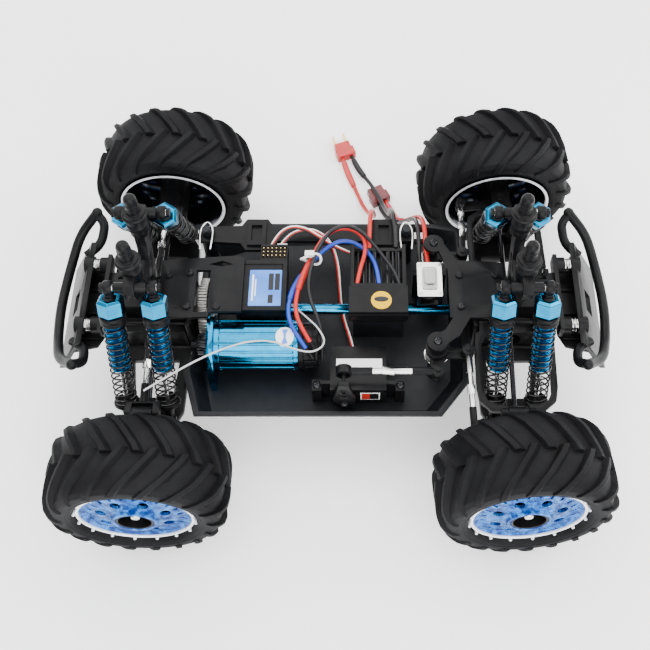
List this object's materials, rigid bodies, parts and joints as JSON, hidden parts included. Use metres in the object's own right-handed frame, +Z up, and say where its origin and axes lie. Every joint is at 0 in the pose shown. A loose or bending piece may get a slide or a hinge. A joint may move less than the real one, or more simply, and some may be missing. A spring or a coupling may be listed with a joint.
{
  "type": "radio-controlled monster truck chassis",
  "caption": "Radio-controlled monster truck rolling chassis with long-travel arms, oil shocks, bellcrank steering, motor and radio gear, without its body shell.",
  "frame": {"origin": "on the ground, midway between the four wheels", "axes": "+X towards the truck's front, +Y towards its left side, +Z up"},
  "size_m": [0.4052, 0.3891, 0.19],
  "materials": {
    "tyre_rubber": "matte moulded rubber",
    "wheel_plating": "blue and silver plated plastic",
    "black_plastic": "moulded nylon",
    "blue_aluminium": "anodised cyan blue",
    "steel": "polished steel",
    "spring_steel": "black lacquer",
    "lead_insulation": "silicone insulation, red, black and blue",
    "plug_plastic": "red moulded nylon",
    "case_plastic": "fine textured case"
  },
  "bodies": {
    "chassis": {"chassis_tub": "black_plastic", "battery_strap": "black_plastic", "gearboxes": "black_plastic", "shock_towers": "black_plastic", "bumpers": "black_plastic", "motor": "blue_aluminium", "speed_controller": "case_plastic", "receiver": "case_plastic", "servo": "case_plastic", "power_leads": "lead_insulation", "wiring": "lead_insulation", "plugs": "plug_plastic"},
    "front_left_lower_arm": {"front_left_lower_arm": "black_plastic"},
    "front_left_hub_carrier": {"front_left_hub_carrier": "black_plastic"},
    "front_left_wheel": {"front_left_tyre": "tyre_rubber", "front_left_wheel": "wheel_plating"},
    "front_left_upper_arm": {"front_left_upper_arm": "black_plastic"},
    "front_left_shock_bodies": {"front_left_shock_bodies": "blue_aluminium", "front_left_springs": "spring_steel"},
    "front_left_shock_shafts": {"front_left_shock_shafts": "steel"},
    "front_left_drive_shaft": {"front_left_drive_shaft": "steel"},
    "front_left_knuckle": {"front_left_knuckle": "black_plastic"},
    "front_right_lower_arm": {"front_right_lower_arm": "black_plastic"},
    "front_right_hub_carrier": {"front_right_hub_carrier": "black_plastic"},
    "front_right_wheel": {"front_right_tyre": "tyre_rubber", "front_right_wheel": "wheel_plating"},
    "front_right_upper_arm": {"front_right_upper_arm": "black_plastic"},
    "front_right_shock_bodies": {"front_right_shock_bodies": "blue_aluminium", "front_right_springs": "spring_steel"},
    "front_right_shock_shafts": {"front_right_shock_shafts": "steel"},
    "front_right_drive_shaft": {"front_right_drive_shaft": "steel"},
    "front_right_knuckle": {"front_right_knuckle": "black_plastic"},
    "rear_left_lower_arm": {"rear_left_lower_arm": "black_plastic"},
    "rear_left_hub_carrier": {"rear_left_hub_carrier": "black_plastic"},
    "rear_left_wheel": {"rear_left_tyre": "tyre_rubber", "rear_left_wheel": "wheel_plating"},
    "rear_left_upper_link": {"rear_left_upper_link": "black_plastic"},
    "rear_left_shock_bodies": {"rear_left_shock_bodies": "blue_aluminium", "rear_left_springs": "spring_steel"},
    "rear_left_shock_shafts": {"rear_left_shock_shafts": "steel"},
    "rear_left_drive_shaft": {"rear_left_drive_shaft": "steel"},
    "rear_right_lower_arm": {"rear_right_lower_arm": "black_plastic"},
    "rear_right_hub_carrier": {"rear_right_hub_carrier": "black_plastic"},
    "rear_right_wheel": {"rear_right_tyre": "tyre_rubber", "rear_right_wheel": "wheel_plating"},
    "rear_right_upper_link": {"rear_right_upper_link": "black_plastic"},
    "rear_right_shock_bodies": {"rear_right_shock_bodies": "blue_aluminium", "rear_right_springs": "spring_steel"},
    "rear_right_shock_shafts": {"rear_right_shock_shafts": "steel"},
    "rear_right_drive_shaft": {"rear_right_drive_shaft": "steel"},
    "right_bellcrank": {"right_bellcrank": "black_plastic"},
    "left_bellcrank": {"left_bellcrank": "black_plastic"},
    "drag_link": {"drag_link": "black_plastic"},
    "right_tie_rod": {"right_tie_rod": "black_plastic"},
    "left_tie_rod": {"left_tie_rod": "black_plastic"},
    "servo_horn": {"servo_horn": "black_plastic"},
    "servo_link": {"servo_link": "steel"},
    "spur_gear_and_shaft": {"spur_gear_and_shaft": "black_plastic"},
    "pinion_gear": {"pinion_gear": "steel"},
    "switch_slider": {"switch_slider": "black_plastic"}
  },
  "joints": [
    {"name": "front_left_suspension", "type": "hinge", "parent": "chassis", "child": "front_left_lower_arm", "pos_m": [0.13, 0.02, 0.054], "axis": [1, 0, 0], "range_deg": [-8, 10], "stiffness_Nm_per_rad": 2.2, "springref_deg": -6.02},
    {"name": "front_left_carrier_pivot", "type": "hinge", "parent": "front_left_lower_arm", "child": "front_left_hub_carrier", "pos_m": [0.13, 0.08696, 0.04492], "axis": [1, 0, 0], "range_deg": [-10.5, 8.5]},
    {"name": "front_left_upper_arm_pivot", "type": "hinge", "parent": "chassis", "child": "front_left_upper_arm", "pos_m": [0.13, 0.0181, 0.08795], "axis": [1, 0, 0], "range_deg": [-8.5, 10.5]},
    {"name": "front_left_shock_swing", "type": "hinge", "parent": "chassis", "child": "front_left_shock_bodies", "pos_m": [0.13, 0.03, 0.155], "axis": [1, 0, 0], "range_deg": [-2.02, 2.45]},
    {"name": "front_left_shock_stroke", "type": "slide", "parent": "front_left_shock_bodies", "child": "front_left_shock_shafts", "axis": [0, 0.4436, -0.8962], "range_m": [-0.0105, 0.0085], "deforming": ["front_left_springs"]},
    {"name": "front_left_steer", "type": "hinge", "parent": "front_left_hub_carrier", "child": "front_left_knuckle", "pos_m": [0.13, 0.09905, 0.06162], "axis": [0, -0.0558, 0.9984], "range_deg": [-17.5, 11.9]},
    {"name": "front_left_wheel_spin", "type": "hinge", "parent": "front_left_knuckle", "child": "front_left_wheel", "pos_m": [0.12805, 0.13094, 0.0634], "axis": [-0.061, 0.9966, 0.0557], "continuous": true},
    {"name": "front_left_drive_shaft_spin", "type": "hinge", "parent": "front_left_lower_arm", "child": "front_left_drive_shaft", "pos_m": [0.13, 0.02, 0.07], "axis": [0, 0.9944, -0.1054], "continuous": true},
    {"name": "front_right_suspension", "type": "hinge", "parent": "chassis", "child": "front_right_lower_arm", "pos_m": [0.13, -0.02, 0.054], "axis": [-1, 0, 0], "range_deg": [-8, 10], "stiffness_Nm_per_rad": 2.2, "springref_deg": -6.02},
    {"name": "front_right_carrier_pivot", "type": "hinge", "parent": "front_right_lower_arm", "child": "front_right_hub_carrier", "pos_m": [0.13, -0.08696, 0.04492], "axis": [-1, 0, 0], "range_deg": [-10.5, 8.5]},
    {"name": "front_right_upper_arm_pivot", "type": "hinge", "parent": "chassis", "child": "front_right_upper_arm", "pos_m": [0.13, -0.0181, 0.08795], "axis": [-1, 0, 0], "range_deg": [-8.5, 10.5]},
    {"name": "front_right_shock_swing", "type": "hinge", "parent": "chassis", "child": "front_right_shock_bodies", "pos_m": [0.13, -0.03, 0.155], "axis": [-1, 0, 0], "range_deg": [-2.02, 2.45]},
    {"name": "front_right_shock_stroke", "type": "slide", "parent": "front_right_shock_bodies", "child": "front_right_shock_shafts", "axis": [0, -0.4436, -0.8962], "range_m": [-0.0105, 0.0085], "deforming": ["front_right_springs"]},
    {"name": "front_right_steer", "type": "hinge", "parent": "front_right_hub_carrier", "child": "front_right_knuckle", "pos_m": [0.13, -0.09905, 0.06162], "axis": [0, 0.0558, 0.9984], "range_deg": [-17.5, 11.9]},
    {"name": "front_right_wheel_spin", "type": "hinge", "parent": "front_right_knuckle", "child": "front_right_wheel", "pos_m": [0.13195, -0.13094, 0.0634], "axis": [-0.061, 0.9966, -0.0557], "continuous": true},
    {"name": "front_right_drive_shaft_spin", "type": "hinge", "parent": "front_right_lower_arm", "child": "front_right_drive_shaft", "pos_m": [0.13, -0.02, 0.07], "axis": [0, 0.9944, 0.1054], "continuous": true},
    {"name": "rear_left_suspension", "type": "hinge", "parent": "chassis", "child": "rear_left_lower_arm", "pos_m": [-0.13, 0.02, 0.054], "axis": [1, 0, 0], "range_deg": [-8, 10], "stiffness_Nm_per_rad": 2.2, "springref_deg": -6.02},
    {"name": "rear_left_carrier_pivot", "type": "hinge", "parent": "rear_left_lower_arm", "child": "rear_left_hub_carrier", "pos_m": [-0.13, 0.08649, 0.04568], "axis": [1, 0, 0], "range_deg": [-10.5, 8.5]},
    {"name": "rear_left_upper_link_pivot", "type": "hinge", "parent": "chassis", "child": "rear_left_upper_link", "pos_m": [-0.13, 0.01899, 0.08798], "axis": [1, 0, 0], "range_deg": [-8.5, 10.5]},
    {"name": "rear_left_shock_swing", "type": "hinge", "parent": "chassis", "child": "rear_left_shock_bodies", "pos_m": [-0.13, 0.03, 0.155], "axis": [1, 0, 0], "range_deg": [-2.02, 2.45]},
    {"name": "rear_left_shock_stroke", "type": "slide", "parent": "rear_left_shock_bodies", "child": "rear_left_shock_shafts", "axis": [0, 0.4436, -0.8962], "range_m": [-0.0105, 0.0085], "deforming": ["rear_left_springs"]},
    {"name": "rear_left_wheel_spin", "type": "hinge", "parent": "rear_left_hub_carrier", "child": "rear_left_wheel", "pos_m": [-0.13, 0.131, 0.06301], "axis": [0, 0.9996, 0.0297], "continuous": true},
    {"name": "rear_left_drive_shaft_spin", "type": "hinge", "parent": "rear_left_lower_arm", "child": "rear_left_drive_shaft", "pos_m": [-0.13, 0.02, 0.07], "axis": [0, 0.995, -0.1], "continuous": true},
    {"name": "rear_right_suspension", "type": "hinge", "parent": "chassis", "child": "rear_right_lower_arm", "pos_m": [-0.13, -0.02, 0.054], "axis": [-1, 0, 0], "range_deg": [-8, 10], "stiffness_Nm_per_rad": 2.2, "springref_deg": -6.02},
    {"name": "rear_right_carrier_pivot", "type": "hinge", "parent": "rear_right_lower_arm", "child": "rear_right_hub_carrier", "pos_m": [-0.13, -0.08649, 0.04568], "axis": [-1, 0, 0], "range_deg": [-10.5, 8.5]},
    {"name": "rear_right_upper_link_pivot", "type": "hinge", "parent": "chassis", "child": "rear_right_upper_link", "pos_m": [-0.13, -0.01899, 0.08798], "axis": [-1, 0, 0], "range_deg": [-8.5, 10.5]},
    {"name": "rear_right_shock_swing", "type": "hinge", "parent": "chassis", "child": "rear_right_shock_bodies", "pos_m": [-0.13, -0.03, 0.155], "axis": [-1, 0, 0], "range_deg": [-2.02, 2.45]},
    {"name": "rear_right_shock_stroke", "type": "slide", "parent": "rear_right_shock_bodies", "child": "rear_right_shock_shafts", "axis": [0, -0.4436, -0.8962], "range_m": [-0.0105, 0.0085], "deforming": ["rear_right_springs"]},
    {"name": "rear_right_wheel_spin", "type": "hinge", "parent": "rear_right_hub_carrier", "child": "rear_right_wheel", "pos_m": [-0.13, -0.131, 0.06301], "axis": [0, 0.9996, -0.0297], "continuous": true},
    {"name": "rear_right_drive_shaft_spin", "type": "hinge", "parent": "rear_right_lower_arm", "child": "rear_right_drive_shaft", "pos_m": [-0.13, -0.02, 0.07], "axis": [0, 0.995, 0.1], "continuous": true},
    {"name": "steering", "type": "hinge", "parent": "chassis", "child": "right_bellcrank", "pos_m": [0.0745, -0.041, 0.085], "axis": [0, 0, 1], "range_deg": [-16.2, 24]},
    {"name": "left_bellcrank_pivot", "type": "hinge", "parent": "chassis", "child": "left_bellcrank", "pos_m": [0.0745, 0.041, 0.085], "axis": [0, 0, 1], "range_deg": [-16.6, 24.5]},
    {"name": "drag_link_pivot", "type": "hinge", "parent": "right_bellcrank", "child": "drag_link", "pos_m": [0.09642, -0.04289, 0.082], "axis": [0, 0, 1], "range_deg": [-24.5, 16.6]},
    {"name": "right_tie_rod_swing", "type": "hinge", "parent": "drag_link", "child": "right_tie_rod", "pos_m": [0.09642, -0.04289, 0.091], "axis": [-1, 0, 0], "range_deg": [-10.48, 12.98]},
    {"name": "left_tie_rod_swing", "type": "hinge", "parent": "drag_link", "child": "left_tie_rod", "pos_m": [0.09642, 0.03911, 0.091], "axis": [1, 0, 0], "range_deg": [-9.83, 12.16]},
    {"name": "servo_horn_turn", "type": "hinge", "parent": "chassis", "child": "servo_horn", "pos_m": [0.009, -0.07, 0.065], "axis": [0, 1, 0], "range_deg": [-11.62, 17.02]},
    {"name": "servo_link_pivot", "type": "hinge", "parent": "right_bellcrank", "child": "servo_link", "pos_m": [0.0745, -0.059, 0.091], "axis": [0, 0, 1], "range_deg": [-24.5, 16.6]},
    {"name": "centre_shaft_spin", "type": "hinge", "parent": "chassis", "child": "spur_gear_and_shaft", "pos_m": [0, 0, 0.075], "axis": [1, 0, 0], "continuous": true},
    {"name": "pinion_spin", "type": "hinge", "parent": "chassis", "child": "pinion_gear", "pos_m": [-0.093, -0.03, 0.075], "axis": [1, 0, 0], "continuous": true},
    {"name": "power_switch", "type": "slide", "parent": "chassis", "child": "switch_slider", "axis": [0, 1, 0], "range_m": [0, 0.006]}
  ],
  "couplings": [
    {"joint": "front_left_carrier_pivot", "follows": "front_left_suspension", "ratio": -1},
    {"joint": "front_left_upper_arm_pivot", "follows": "front_left_suspension", "ratio": 1},
    {"joint": "front_left_shock_swing", "follows": "front_left_suspension", "ratio": 0.215},
    {"joint": "front_left_shock_stroke", "follows": "front_left_suspension", "m_per_rad": -0.054},
    {"joint": "front_left_steer", "follows": "steering", "ratio": -0.70968},
    {"joint": "front_left_drive_shaft_spin", "follows": "front_left_wheel_spin", "ratio": 1},
    {"joint": "front_right_carrier_pivot", "follows": "front_right_suspension", "ratio": -1},
    {"joint": "front_right_upper_arm_pivot", "follows": "front_right_suspension", "ratio": 1},
    {"joint": "front_right_shock_swing", "follows": "front_right_suspension", "ratio": 0.215},
    {"joint": "front_right_shock_stroke", "follows": "front_right_suspension", "m_per_rad": -0.054},
    {"joint": "front_right_steer", "follows": "steering", "ratio": -0.70968},
    {"joint": "front_right_drive_shaft_spin", "follows": "front_right_wheel_spin", "ratio": 1},
    {"joint": "rear_left_carrier_pivot", "follows": "rear_left_suspension", "ratio": -1},
    {"joint": "rear_left_upper_link_pivot", "follows": "rear_left_suspension", "ratio": 1},
    {"joint": "rear_left_shock_swing", "follows": "rear_left_suspension", "ratio": 0.215},
    {"joint": "rear_left_shock_stroke", "follows": "rear_left_suspension", "m_per_rad": -0.054},
    {"joint": "rear_left_drive_shaft_spin", "follows": "rear_left_wheel_spin", "ratio": 1},
    {"joint": "rear_right_carrier_pivot", "follows": "rear_right_suspension", "ratio": -1},
    {"joint": "rear_right_upper_link_pivot", "follows": "rear_right_suspension", "ratio": 1},
    {"joint": "rear_right_shock_swing", "follows": "rear_right_suspension", "ratio": 0.215},
    {"joint": "rear_right_shock_stroke", "follows": "rear_right_suspension", "m_per_rad": -0.054},
    {"joint": "rear_right_drive_shaft_spin", "follows": "rear_right_wheel_spin", "ratio": 1},
    {"joint": "left_bellcrank_pivot", "follows": "steering", "ratio": 1},
    {"joint": "drag_link_pivot", "follows": "steering", "ratio": -1},
    {"joint": "right_tie_rod_swing", "follows": "front_right_suspension", "ratio": 1.248},
    {"joint": "left_tie_rod_swing", "follows": "front_left_suspension", "ratio": 1.166},
    {"joint": "servo_horn_turn", "follows": "steering", "ratio": 0.69231},
    {"joint": "servo_link_pivot", "follows": "steering", "ratio": -1},
    {"joint": "pinion_spin", "follows": "centre_shaft_spin", "ratio": -2.9474}
  ]
}
